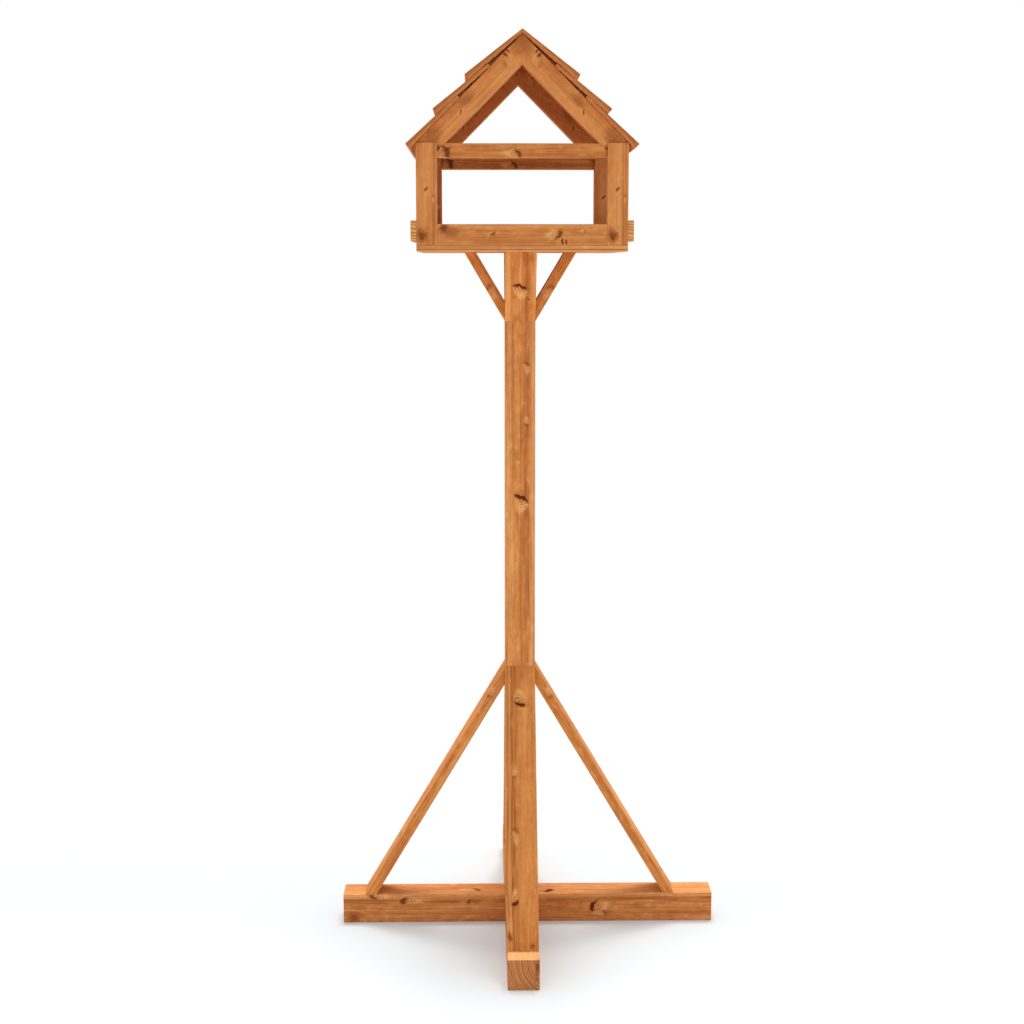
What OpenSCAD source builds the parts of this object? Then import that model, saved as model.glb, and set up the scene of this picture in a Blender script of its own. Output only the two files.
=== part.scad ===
// Bird table: a roofed feeding tray on a square post, with a crossed-beam foot and eight braces.
// Millimetres, +Z up. The origin is on the ground at the post's axis; the front faces -Y.

/* [Post and foot] */
// Width of the post and of both foot beams, square section
timber_w = 45; // [35:1:60]
// Height of the foot beams, from the ground to their top faces
beam_h = 45; // [35:1:60]
// Length of the beam that runs left to right
beam_across_len = 570; // [480:5:700]
// How far that beam sits to the right of the post's axis
beam_across_shift = 12.5; // [0:0.5:25]
// Length of the beam that runs front to back
beam_long_len = 570; // [480:5:700]
// How far that beam sits behind the post's axis
beam_long_shift = 16; // [0:0.5:25]
// Height of the tray's underside, where the post ends
post_top = 1025.5; // [800:0.5:1300]

/* [Braces] */
// Thickness of the four lower braces
lower_brace_t = 14.5; // [12:0.5:26]
// Height at which a lower brace's outer face meets the post
lower_brace_top = 407; // [330:1:430]
// Lean of a lower brace from the vertical, degrees
lower_brace_lean = 30.8; // [24:0.1:32]
// Thickness of the four upper braces
upper_brace_t = 15; // [10:0.5:22]
// How far below the tray an upper brace's outer face meets the post
upper_brace_drop = 100; // [60:1:130]
// Lean of an upper brace from the vertical, degrees
upper_brace_lean = 30.8; // [25:0.1:40]

/* [Tray] */
// Width of the tray, left to right, over the corner posts
tray_w = 293; // [240:1:380]
// Depth of the tray, front to back, over the corner posts
tray_d = 297; // [240:1:380]
// Thickness of the tray's floor
floor_t = 9; // [6:0.5:15]
// Height of the front and rear rails above the floor
end_rail_h = 28.5; // [18:0.5:45]
// Thickness of the front and rear rails
end_rail_t = 8; // [6:0.5:14]
// Height of the side rails
side_rail_h = 28.5; // [18:0.5:45]
// Thickness of the side rails
side_rail_t = 8; // [6:0.5:14]
// How far the side rails' lower edges are above the floor
side_rail_lift = 5; // [0:0.5:12]

/* [Corner posts and roof frame] */
// Width of the four corner posts, square section
corner_w = 29; // [20:0.5:40]
// Height of the corner posts above the floor
corner_h = 138.5; // [110:0.5:200]
// Height of the tie beams
tie_h = 20; // [12:0.5:28]
// Thickness of the tie beams
tie_t = 20; // [10:0.5:24]
// How far the tie beams are below the corner posts' tops
tie_drop = 0.5; // [0.5:0.5:5]
// How far the tie beams and the rafters are set back from the faces of the corner posts
tie_setback = 4; // [0:0.5:5]
// Depth of the rafters, square to their slope
rafter_d = 29; // [24:0.5:34]
// Thickness of the rafters, front to back
rafter_t = 25; // [20:0.5:40]
// Slope of the rafters, degrees
rafter_slope = 45; // [40:0.5:50]

/* [Roof boards] */
// Width of a roof board, down the slope
board_w = 96.5; // [90:0.5:110]
// Thickness of a board's upper edge
board_thin = 4; // [2:0.1:5]
// Thickness of a board's lower edge
board_thick = 8.8; // [6:0.1:12]
// From the ridge to the lowest boards' lower edges, down the rafters
eave_run = 218.5; // [215:0.5:230]
// From the lowest boards' lower edges up to the middle boards' lower edges
lower_course = 59; // [50:0.5:70]
// How far the boards reach past the corner posts, at the front and at the rear
roof_overhang = 4; // [2:0.5:30]

/* [Hidden] */
// Colours
post_color = [0.76, 0.47, 0.24];
brace_color = [0.72, 0.42, 0.21];
tray_color = [0.74, 0.45, 0.23];
roof_color = [0.66, 0.38, 0.18];
// Post and foot
half_timber = timber_w / 2;
lap_h = beam_h / 2;
post_h = post_top - beam_h;
// Tray
half_w = tray_w / 2;
half_d = tray_d / 2;
floor_top = post_top + floor_t;
corner_top = floor_top + corner_h;
between_posts = tray_w - 2 * corner_w;
// Roof frame: the rafters' top faces pass through the outer corners of the posts' tops
ridge_z = corner_top + half_w * tan(rafter_slope);
inner_ridge_z = ridge_z - rafter_d / cos(rafter_slope);
foot_inner_x = (inner_ridge_z - corner_top) / tan(rafter_slope);
tie_top = corner_top - tie_drop;
// Roof boards: where each one bears, and how far its lower end is lifted off the rafters
taper = atan((board_thick - board_thin) / board_w);
eave_start = eave_run - board_w;
middle_start = eave_start - lower_course;
middle_tilt = lie_angle(middle_start, eave_start, board_thin, taper);
middle_corner = [middle_start - board_thin * sin(middle_tilt), board_thin * cos(middle_tilt)];
ridge_tilt = lie_angle(0, middle_corner.x, middle_corner.y, middle_tilt + taper);
roof_d = tray_d + 2 * roof_overhang;

// Angle at which a board lies when it bears on the rafter at start, and its lower edge on the
// board below. That board's top face begins at (s, n), down and off the rafter, and slopes by beta.
function lie_angle(start, s, n, beta) =
    max(
        beta + asin((n * cos(beta) + sin(beta) * (start - s)) / board_w),
        atan2(n, s - start)
    );

// A section drawn with x to the right and y up, extruded to run from y = -depth / 2 to depth / 2
module run_front_to_back(depth) {
    translate([0, depth / 2, 0])
        rotate([90, 0, 0])
            linear_extrude(height = depth)
                children();
}

// A beam of the foot, along X, halved at the crossing; notch_z is the notch's lower level
module foot_beam(length, shift, notch_z) {
    color(post_color)
        difference() {
            translate([shift - length / 2, -half_timber, 0])
                cube([length, timber_w, beam_h]);
            translate([-half_timber, -timber_w, notch_z])
                cube([timber_w, 2 * timber_w, beam_h]);
        }
}

module foot_beam_across() {
    foot_beam(beam_across_len, beam_across_shift, lap_h);
}

module foot_beam_front_to_back() {
    rotate([0, 0, 90])
        foot_beam(beam_long_len, beam_long_shift, lap_h - beam_h);
}

module post() {
    color(post_color)
        translate([-half_timber, -half_timber, beam_h])
            cube([timber_w, timber_w, post_h]);
}

// A brace from the post's side at height post_z out to the level end_z, by its outer face
module brace(thickness, lean, post_z, end_z) {
    rise = end_z - post_z;
    inward = rise > 0 ? 1 : -1;
    outer_end = half_timber + abs(rise) * tan(lean);
    color(brace_color)
        run_front_to_back(timber_w)
            polygon([
                [half_timber, post_z],
                [outer_end, end_z],
                [outer_end - thickness / cos(lean), end_z],
                [half_timber, post_z + inward * thickness / sin(lean)]
            ]);
}

// The braces point to the right, the rear, the left and the front, a quarter turn apart
module lower_brace(turn) {
    rotate([0, 0, turn])
        brace(lower_brace_t, lower_brace_lean, lower_brace_top, beam_h);
}

module upper_brace(turn) {
    rotate([0, 0, turn])
        brace(upper_brace_t, upper_brace_lean, post_top - upper_brace_drop, post_top);
}

module tray_floor() {
    color(tray_color)
        translate([-half_w, -half_d, post_top])
            cube([tray_w, tray_d, floor_t]);
}

// Front rail between the posts, flush with their front faces
module end_rail() {
    color(tray_color)
        translate([-between_posts / 2, -half_d, floor_top])
            cube([between_posts, end_rail_t, end_rail_h]);
}

// Right rail on the posts' outer faces
module side_rail() {
    color(tray_color)
        translate([half_w, -half_d, floor_top + side_rail_lift])
            cube([side_rail_t, tray_d, side_rail_h]);
}

// Front left corner post
module corner_post() {
    color(tray_color)
        translate([-half_w, -half_d, floor_top])
            cube([corner_w, corner_w, corner_h]);
}

// Front tie beam between the posts, with its upper corners cut on the line of the rafters
module tie_beam() {
    half_tie = between_posts / 2;
    corner_x = foot_inner_x + tie_drop / tan(rafter_slope);
    corner_cut = max(0, half_tie - corner_x);
    color(tray_color)
        translate([0, tie_setback + (tie_t - tray_d) / 2, 0])
            run_front_to_back(tie_t)
                polygon([
                    [-half_tie, tie_top - tie_h],
                    [half_tie, tie_top - tie_h],
                    [half_tie, tie_top - corner_cut * tan(rafter_slope)],
                    [half_tie - corner_cut, tie_top],
                    [corner_cut - half_tie, tie_top],
                    [-half_tie, tie_top - corner_cut * tan(rafter_slope)]
                ]);
}

// Front right rafter, mitred at the ridge and notched over the post, so that its heel runs down the
// post's inner face
module rafter() {
    color(post_color)
        translate([0, tie_setback + (rafter_t - tray_d) / 2, 0])
            difference() {
                run_front_to_back(rafter_t)
                    polygon([
                        [0, ridge_z],
                        [half_w, corner_top],
                        [half_w, corner_top - rafter_d / cos(rafter_slope)],
                        [0, inner_ridge_z]
                    ]);
                translate([between_posts / 2, -rafter_t, floor_top])
                    cube([2 * corner_w, 2 * rafter_t, corner_h]);
            }
}

// A right-hand roof board: it bears on the rafters start below the ridge and is lifted by tilt
module roof_board(start, tilt, upper_corner) {
    color(roof_color)
        run_front_to_back(roof_d)
            translate([0, ridge_z])
                rotate(-rafter_slope)
                    translate([start, 0])
                        rotate(tilt)
                            polygon([
                                [0, 0],
                                [board_w, 0],
                                [board_w, board_thick],
                                upper_corner
                            ]);
}

module ridge_board() {
    fall = rafter_slope - ridge_tilt;
    mitre = board_thin / (cos(fall) + tan(taper) * sin(fall));
    roof_board(0, ridge_tilt, [-mitre * sin(fall), mitre * cos(fall)]);
}

module middle_board() {
    roof_board(middle_start, middle_tilt, [0, board_thin]);
}

module eave_board() {
    roof_board(eave_start, 0, [0, board_thin]);
}

// The same piece on the other side
module to_left() {
    mirror([1, 0, 0])
        children();
}

module to_rear() {
    mirror([0, 1, 0])
        children();
}

foot_beam_across();
foot_beam_front_to_back();
post();
lower_brace(0);  // lower_brace_right
lower_brace(90);  // lower_brace_rear
lower_brace(180);  // lower_brace_left
lower_brace(270);  // lower_brace_front
upper_brace(0);  // upper_brace_right
upper_brace(90);  // upper_brace_rear
upper_brace(180);  // upper_brace_left
upper_brace(270);  // upper_brace_front
tray_floor();
end_rail();  // tray_rail_front
to_rear() end_rail();  // tray_rail_rear
side_rail();  // tray_rail_right
to_left() side_rail();  // tray_rail_left
corner_post();  // corner_post_front_left
to_left() corner_post();  // corner_post_front_right
to_rear() corner_post();  // corner_post_rear_left
to_left() to_rear() corner_post();  // corner_post_rear_right
tie_beam();  // tie_beam_front
to_rear() tie_beam();  // tie_beam_rear
rafter();  // rafter_front_right
to_left() rafter();  // rafter_front_left
to_rear() rafter();  // rafter_rear_right
to_left() to_rear() rafter();  // rafter_rear_left
ridge_board();  // roof_board_right_ridge
to_left() ridge_board();  // roof_board_left_ridge
middle_board();  // roof_board_right_middle
to_left() middle_board();  // roof_board_left_middle
eave_board();  // roof_board_right_eave
to_left() eave_board();  // roof_board_left_eave
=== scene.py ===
"""Looks of a bird table: planed, stained softwood on every timber, in a plain pale studio."""

import logging
import math
import random
from dataclasses import dataclass, field
from enum import Enum

import bpy
from mathutils import Matrix, Vector

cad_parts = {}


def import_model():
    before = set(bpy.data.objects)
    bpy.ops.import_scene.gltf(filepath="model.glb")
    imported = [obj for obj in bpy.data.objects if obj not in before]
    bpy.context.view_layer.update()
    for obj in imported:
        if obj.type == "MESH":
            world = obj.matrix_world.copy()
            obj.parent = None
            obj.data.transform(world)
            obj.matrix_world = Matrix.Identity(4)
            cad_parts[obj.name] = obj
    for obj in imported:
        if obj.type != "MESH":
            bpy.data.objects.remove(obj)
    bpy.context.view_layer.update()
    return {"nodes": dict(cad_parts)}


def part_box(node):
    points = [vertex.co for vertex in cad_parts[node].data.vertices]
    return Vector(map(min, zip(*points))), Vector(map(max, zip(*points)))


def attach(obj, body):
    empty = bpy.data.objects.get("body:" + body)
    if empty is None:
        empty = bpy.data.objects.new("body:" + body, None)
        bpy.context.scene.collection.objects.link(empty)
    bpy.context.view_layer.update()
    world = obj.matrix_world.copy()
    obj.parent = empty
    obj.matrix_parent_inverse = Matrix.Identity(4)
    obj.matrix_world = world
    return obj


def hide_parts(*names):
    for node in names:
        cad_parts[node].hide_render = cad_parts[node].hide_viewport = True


Object = bpy.types.Object
Tree = bpy.types.NodeTree
Socket = bpy.types.NodeSocket
Outputs = bpy.types.bpy_prop_collection
Colour = tuple[float, float, float, float]
Feed = Socket | Vector | tuple[float, ...] | float
Feeds = dict[str | int, Feed]
Span = tuple[float, float]
Stretch = tuple[float, float, float]

BODY = "root"
MILLIMETRE = 0.001
FRONT = Vector((0.0, -1.0, 0.0))
REAR = Vector((0.0, 1.0, 0.0))
LEFT = Vector((-1.0, 0.0, 0.0))
RIGHT = Vector((1.0, 0.0, 0.0))
UP = Vector((0.0, 0.0, 1.0))
WHITE = (1.0, 1.0, 1.0, 1.0)
NOISE_MIDDLE = (0.5, 0.5, 0.5)
BRIGHTEST = 255
SRGB_SHIFT = 0.055
SRGB_POWER = 2.4

log = logging.getLogger("bird_table")


class Side(Enum):
    """A long side of a timber, as the way it faces in the timber's section (across, out)."""

    FACE = (0.0, 1.0)
    BACK = (0.0, -1.0)
    LEFT = (-1.0, 0.0)
    RIGHT = (1.0, 0.0)


class Sawing(Enum):
    """Where the tree's heart lies from a timber's centre (across, out), in mm."""

    SLAB = (-6.0, -34.0)
    SLAB_RIGHT = (9.0, -30.0)
    RIFT = (30.0, -26.0)
    RIFT_LEFT = (-30.0, -24.0)
    QUARTER = (-44.0, 5.0)
    CORNER = (58.0, 28.0)
    BOARD = (8.0, -70.0)


class Crescent(Enum):
    """The end of a knot that its dark rim lies on, along the timber's run."""

    LOWER = -1.0
    UPPER = 1.0


class Look(Enum):
    """What a knot looks like, as how much each of LOOK_PARTS shows. One look is painted shade, and the
    smudge look is painted shade where it is put beside a joint.
    """

    TIGHT = (0.3, 1.0, 0.7, 0.75)
    LOOSE = (0.8, 0.5, 0.3, 0.3)
    # a dark smudge: the random ones are stains in the wood, and those put beside joints on the rafters,
    # corner posts and front rail are painted shade
    SMUDGE_AND_SHADE = (0.95, 0.1, 0.0, 0.4)
    # painted shade: a soft dark patch without a rim, put where shade falls on the rafters and by a joint on
    # the tray's front rail
    SMOKE = (0.45, 0.0, 0.0, 0.0)
    SWIRL = (0.15, 0.3, 0.6, 0.5)
    CURL = (0.15, 0.75, 0.65, 0.7)
    DASH = (1.0, 0.6, 0.15, 0.0)
    FAINT = (0.0, 0.15, 0.4, 0.35)


LOOK_PARTS = ("Core", "Rim", "Halo", "Swirl")


@dataclass(frozen=True)
class Knot:
    """A knot, by where the branch comes out of its timber. With the painted shade look, and with the smudge
    look put beside a joint, it is a patch of painted shade placed the same way. Sizes are in mm.
    """

    along: float
    offset: float
    radius: float
    look: Look
    stretch: float = 1.0
    skew: float = 0.0
    crescent: Crescent = Crescent.UPPER
    side: Side = Side.FACE


def stain(red: int, green: int, blue: int) -> Colour:
    """Turns a stain's everyday colour values into the linear ones that shaders take.

    Args:
        red: Red, from 0 to 255.
        green: Green, from 0 to 255.
        blue: Blue, from 0 to 255.

    Returns:
        The colour with an alpha of 1.
    """
    parts = [value / BRIGHTEST for value in (red, green, blue)]
    linear = [((part + SRGB_SHIFT) / (1.0 + SRGB_SHIFT)) ** SRGB_POWER for part in parts]
    return (linear[0], linear[1], linear[2], 1.0)


def length_along(size: Vector, axis: Vector) -> float:
    """Returns how long a box of some size is along an axis, in mm."""
    return size.dot(Vector([abs(part) for part in axis])) / MILLIMETRE


@dataclass
class Bench:
    """A shader tree that is being put together."""

    tree: Tree

    def feed(self, socket: Socket, source: Feed) -> None:
        """Links a socket to another, or sets its value.

        Args:
            socket: The input.
            source: An output socket, or the value itself.
        """
        if isinstance(source, Socket):
            self.tree.links.new(source, socket)
        else:
            socket.default_value = source

    def node(self, kind: str, inputs: Feeds | None = None, **settings: object) -> bpy.types.Node:
        """Adds a node.

        Args:
            kind: The node's type.
            inputs: What feeds each of its inputs, by name or by number.
            **settings: The node's own options.

        Returns:
            The node.
        """
        made = self.tree.nodes.new(kind)
        for name, value in settings.items():
            setattr(made, name, value)
        for name, source in (inputs or {}).items():
            self.feed(made.inputs[name], source)
        return made

    def sum(self, operation: str, *feeds: Feed) -> Socket:
        """Adds a Math node.

        Args:
            operation: What it works out, such as ADD.
            *feeds: Its inputs in order.

        Returns:
            The result.
        """
        return self.node("ShaderNodeMath", dict(enumerate(feeds)), operation=operation).outputs["Value"]

    def vector(self, operation: str, *feeds: Feed, scale: Feed | None = None) -> Socket:
        """Adds a Vector Math node.

        Args:
            operation: What it works out, such as SUBTRACT.
            *feeds: Its vectors in order.
            scale: The factor, where the operation is SCALE.

        Returns:
            The result, a plain value for LENGTH and DOT_PRODUCT.
        """
        inputs = dict(enumerate(feeds)) | ({} if scale is None else {"Scale": scale})
        outputs = self.node("ShaderNodeVectorMath", inputs, operation=operation).outputs
        return outputs["Value" if operation in ("LENGTH", "DOT_PRODUCT") else "Vector"]

    def ease(self, value: Feed, start: float, end: float) -> Socket:
        """Goes smoothly from 0 at start to 1 at end, whichever of them is larger."""
        made = self.node(
            "ShaderNodeMapRange",
            {"Value": value, "From Min": start, "From Max": end},
            interpolation_type="SMOOTHSTEP",
        )
        return made.outputs["Result"]

    def noise(self, place: Feed, stretch: Stretch, detail: float = 2.0, output: str = "Fac") -> Feed:
        """Adds a noise that is finer or coarser on each axis.

        Args:
            place: The vector that it reads.
            stretch: How many features there are in a metre on each axis.
            detail: The noise's detail.
            output: The output that is wanted, Fac or Color.

        Returns:
            That output.
        """
        scaled = self.vector("MULTIPLY", place, stretch)
        made = self.node("ShaderNodeTexNoise", {"Vector": scaled, "Scale": 1.0, "Detail": detail})
        return made.outputs[output]

    def sway(self, place: Feed, stretch: Stretch, reach: Feed) -> Socket:
        """Returns a smooth random shift that reaches about so far, from a noise of that stretch."""
        shift = self.vector("SUBTRACT", self.noise(place, stretch, detail=3.0, output="Color"), NOISE_MIDDLE)
        return self.vector("SCALE", shift, scale=reach)

    def mix(self, factor: Feed, first: Feed, second: Feed) -> Socket:
        """Mixes two colours.

        Args:
            factor: How much of the second one shows.
            first: The colour underneath.
            second: The colour on top.

        Returns:
            The mixed colour.
        """
        made = self.node("ShaderNodeMix", data_type="RGBA")
        colours = [socket for socket in made.inputs if socket.type == "RGBA"]
        self.feed(made.inputs[0], factor)
        self.feed(colours[0], first)
        self.feed(colours[1], second)
        return next(socket for socket in made.outputs if socket.type == "RGBA")

    def times(self, first: Feed, second: Feed) -> Socket:
        """Multiplies two values."""
        return self.sum("MULTIPLY", first, second)

    def blend(self, factor: Feed, first: bpy.types.Node, second: bpy.types.Node) -> bpy.types.Node:
        """Mixes two shaders, the second by the factor."""
        return self.node("ShaderNodeMixShader", {0: factor, 1: first.outputs[0], 2: second.outputs[0]})

    def parts(self, vector: Feed) -> Outputs:
        """Splits a vector into X, Y and Z."""
        return self.node("ShaderNodeSeparateXYZ", {"Vector": vector}).outputs

    def group(self, tree: Tree, inputs: Feeds) -> Outputs:
        """Adds a node group with what feeds its inputs, and returns its outputs."""
        return self.node("ShaderNodeGroup", inputs, node_tree=tree).outputs

    def largest(self, values: list[Feed]) -> Feed:
        """Finds the largest of some values.

        Args:
            values: The values.

        Returns:
            The largest of them, or 0 if there are none.
        """
        top: Feed = 0.0
        for value in values:
            top = self.sum("MAXIMUM", top, value)
        return top


def clear_bench(owner: bpy.types.Material | bpy.types.World) -> Bench:
    """Gives a material or a world an empty shader tree, and returns a bench for it."""
    owner.use_nodes = True
    owner.node_tree.nodes.clear()
    return Bench(owner.node_tree)


class GroupMaker:
    """A shader node group that is being put together."""

    def __init__(self, name: str, inputs: dict[str, str]) -> None:
        """Starts the group with its inputs.

        Args:
            name: The group's name.
            inputs: Each input's name and type, Vector or Float.
        """
        self.tree = bpy.data.node_groups.new(name, "ShaderNodeTree")
        for label, kind in inputs.items():
            self.tree.interface.new_socket(label, in_out="INPUT", socket_type=f"NodeSocket{kind}")
        self.bench = Bench(self.tree)
        self.inputs = self.bench.node("NodeGroupInput").outputs

    def finished(self, results: Feeds) -> Tree:
        """Sends plain values out of the group.

        Args:
            results: Each output's name and what feeds it.

        Returns:
            The group.
        """
        for label in results:
            self.tree.interface.new_socket(label, in_out="OUTPUT", socket_type="NodeSocketFloat")
        self.bench.node("NodeGroupOutput", results)
        return self.tree


@dataclass(frozen=True)
class KnotShape:
    """How far a knot's parts reach, in radii: from none at a span's first value to all at its second."""

    outline: Stretch = (150.0, 110.0, 150.0)
    ripple: float = 1.3
    glow_stretch: float = 0.42
    grown: Span = (1.0, 0.72)
    core: Span = (1.25, 0.3)
    rim_inside: Span = (0.3, 0.5)
    rim_outside: Span = (1.45, 1.15)
    rim_side: Span = (-0.1, 0.4)
    glow: Span = (1.6, 0.9)
    glow_side: Span = (0.5, -0.4)
    rings: float = 1.75
    ring_dark: Span = (0.3, 0.75)
    ring_edge: Span = (1.0, 0.85)
    rings_outside: Span = (2.1, 1.2)


def knot_group() -> Tree:
    """Builds the knot: a branch's root that comes out of one side and turns the grain aside.

    Returns:
        The node group.
    """
    vectors = dict.fromkeys(("Section", "Mouth", "Branch"), "Vector")
    values = dict.fromkeys(("Radius", "Depth", "Rim Side", "Stretch", "Skew"), "Float")
    maker = GroupMaker("KnotInTimber", vectors | values)
    shape = KnotShape()
    bench, fed = maker.bench, maker.inputs
    radius = fed["Radius"]
    away = bench.vector("SUBTRACT", fed["Section"], fed["Mouth"])
    out = bench.vector("DOT_PRODUCT", away, fed["Branch"])
    level = bench.vector("SUBTRACT", away, bench.vector("SCALE", fed["Branch"], scale=out))
    ripple = bench.sway(fed["Section"], shape.outline, bench.times(radius, shape.ripple))
    level = bench.vector("ADD", level, ripple)
    unit = bench.vector("SCALE", level, scale=bench.sum("DIVIDE", 1.0, radius))
    parts = bench.parts(unit)
    slant = bench.times(bench.sum("ADD", parts["X"], parts["Z"]), fed["Skew"])
    run_part = bench.sum("DIVIDE", bench.sum("ADD", parts["Y"], slant), fed["Stretch"])
    skewed = bench.node("ShaderNodeCombineXYZ", {"X": parts["X"], "Y": run_part, "Z": parts["Z"]})
    skewed = skewed.outputs["Vector"]
    reach = bench.vector("LENGTH", skewed)
    long_reach = bench.vector("LENGTH", bench.vector("MULTIPLY", skewed, (1.0, shape.glow_stretch, 1.0)))
    to_rim = bench.times(run_part, fed["Rim Side"])
    depth = bench.times(fed["Depth"], -1.0)
    grown = bench.ease(bench.sum("DIVIDE", out, depth), *shape.grown)
    rim = bench.times(bench.ease(reach, *shape.rim_inside), bench.ease(reach, *shape.rim_outside))
    rim = bench.times(rim, bench.ease(to_rim, *shape.rim_side))
    glow = bench.times(bench.ease(long_reach, *shape.glow), bench.ease(to_rim, *shape.glow_side))
    bell = bench.sum("EXPONENT", bench.times(bench.sum("POWER", long_reach, 2.0), -0.5))
    swirl = bench.sum("FRACT", bench.times(reach, shape.rings))
    swirl = bench.times(bench.ease(swirl, *shape.ring_dark), bench.ease(swirl, *shape.ring_edge))
    swirl = bench.times(swirl, bench.ease(reach, *shape.rings_outside))
    given = {
        "Bulge": bench.times(bell, radius),
        "Core": bench.ease(reach, *shape.core),
        "Rim": rim,
        "Halo": glow,
        "Swirl": swirl,
    }
    return maker.finished({label: bench.times(value, grown) for label, value in given.items()})


@dataclass(frozen=True)
class GrainShape:
    """How fine each part of the grain is, as features in a metre across, along and out of the face."""

    sway: Stretch = (14.0, 2.6, 14.0)
    sway_reach: float = 0.016
    uneven: float = 0.45
    uneven_reach: float = 1.3
    late: Span = (0.2, 0.78)
    late_edge: Span = (1.0, 0.84)
    faintest: float = 0.35
    clear: Stretch = (30.0, 5.0, 30.0)
    clear_span: Span = (0.3, 0.62)
    fibre: Stretch = (560.0, 14.0, 560.0)
    streak: Stretch = (210.0, 5.0, 210.0)
    mottle: Stretch = (150.0, 75.0, 150.0)
    patch: Stretch = (38.0, 11.0, 38.0)
    fleck: Stretch = (330.0, 110.0, 330.0)
    fleck_span: Span = (0.72, 0.8)


def grain_group() -> Tree:
    """Builds solid softwood: growth rings about the heart, long fibres and patches of stain.

    Returns:
        The node group.
    """
    maker = GroupMaker(
        "SoftwoodGrain",
        {"Grain": "Vector", "Bulge": "Float", "Ring Width": "Float", "Seed": "Vector"},
    )
    shape = GrainShape()
    bench, fed = maker.bench, maker.inputs
    place = bench.vector("ADD", fed["Grain"], fed["Seed"])
    bent = bench.vector("ADD", fed["Grain"], bench.sway(place, shape.sway, shape.sway_reach))
    spread = bench.vector("LENGTH", bench.vector("MULTIPLY", bent, (1.0, 0.0, 1.0)))
    spread = bench.sum("ADD", spread, fed["Bulge"])
    rings = bench.sum("DIVIDE", spread, fed["Ring Width"])
    uneven = bench.node("ShaderNodeTexNoise", {"W": rings, "Scale": shape.uneven}, noise_dimensions="1D")
    rings = bench.sum("ADD", rings, bench.times(uneven.outputs["Fac"], shape.uneven_reach))
    phase = bench.sum("FRACT", rings)
    late = bench.times(bench.ease(phase, *shape.late), bench.ease(phase, *shape.late_edge))
    number = bench.sum("FLOOR", rings)
    season = bench.node("ShaderNodeTexWhiteNoise", {"W": number}, noise_dimensions="1D").outputs["Value"]
    weight = bench.sum("ADD", bench.times(season, 1.0 - shape.faintest), shape.faintest)
    clear = bench.noise(place, shape.clear)
    strength = bench.times(weight, bench.ease(clear, *shape.clear_span))
    results = {
        "Latewood": bench.times(late, strength),
        "Rings": bench.times(late, weight),
        "Fibre": bench.noise(place, shape.fibre),
        "Streak": bench.noise(place, shape.streak),
        "Mottle": bench.noise(place, shape.mottle, detail=4.0),
        "Patch": bench.noise(place, shape.patch, detail=4.0),
        "Fleck": bench.ease(bench.noise(place, shape.fleck, detail=1.0), *shape.fleck_span),
    }
    return maker.finished(results)


@dataclass(frozen=True)
class BundleShape:
    """How fine a bundle of streaks is, as features in a metre, and how it sways, in metres."""

    sway: Stretch = (12.0, 4.0, 12.0)
    sway_reach: float = 0.014
    fine: Stretch = (760.0, 9.0, 760.0)
    fine_span: Span = (0.38, 0.58)
    broken: Stretch = (60.0, 22.0, 60.0)
    broken_span: Span = (0.28, 0.5)


def bundle_group() -> Tree:
    """Builds a bundle of fine streaks that runs along one part of a timber's width.

    Returns:
        The node group.
    """
    maker = GroupMaker(
        "StreakBundle",
        {"Section": "Vector", "Offset": "Float", "Width": "Float", "Seed": "Vector"},
    )
    shape = BundleShape()
    bench, fed = maker.bench, maker.inputs
    place = bench.vector("ADD", fed["Section"], fed["Seed"])
    sway = bench.times(bench.sum("SUBTRACT", bench.noise(place, shape.sway), 0.5), shape.sway_reach)
    across = bench.parts(fed["Section"])["X"]
    away = bench.sum("SUBTRACT", bench.sum("ADD", across, sway), fed["Offset"])
    away = bench.sum("DIVIDE", away, fed["Width"])
    band = bench.sum("EXPONENT", bench.times(bench.sum("POWER", away, 2.0), -1.0))
    fine = bench.ease(bench.noise(place, shape.fine), *shape.fine_span)
    broken = bench.ease(bench.noise(place, shape.broken), *shape.broken_span)
    return maker.finished({"Streaks": bench.times(bench.times(fine, broken), band), "Band": band})


@dataclass(frozen=True)
class ArrisShape:
    """How far the pale line along a timber's long edges reaches, in metres: partly wear, partly painted
    highlight.
    """

    ragged: Stretch = (160.0, 40.0, 160.0)
    ragged_reach: float = 0.004
    wear: Span = (0.0042, 0.0016)


def arris_group() -> Tree:
    """Builds the pale line that runs along a timber's long edges, partly wear and partly painted highlight.

    Returns:
        The node group.
    """
    maker = GroupMaker("ArrisWearAndHighlight", {"Section": "Vector", "Half Across": "Float", "Half Out": "Float"})
    shape = ArrisShape()
    bench, fed = maker.bench, maker.inputs
    parts = bench.parts(fed["Section"])
    across = bench.sum("SUBTRACT", fed["Half Across"], bench.sum("ABSOLUTE", parts["X"]))
    out = bench.sum("SUBTRACT", fed["Half Out"], bench.sum("ABSOLUTE", parts["Z"]))
    ragged = bench.times(bench.noise(fed["Section"], shape.ragged, detail=3.0), shape.ragged_reach)
    edge = bench.sum("ADD", bench.sum("ADD", across, out), ragged)
    return maker.finished({"WearAndHighlight": bench.ease(edge, *shape.wear)})


@dataclass(frozen=True)
class Tint:
    """A tint that part of the grain takes: where on the grain's output it fades in, and how strongly."""

    output: str
    fade: Span
    share: float
    colour: str


GRAIN_TINTS = (
    Tint("Mottle", (0.48, 0.74), 0.65, "deep"),
    Tint("Mottle", (0.46, 0.24), 0.6, "pale"),
    Tint("Streak", (0.52, 0.76), 0.55, "late"),
    Tint("Streak", (0.46, 0.22), 0.55, "pale"),
    Tint("Fibre", (0.47, 0.74), 0.62, "late"),
)
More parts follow.
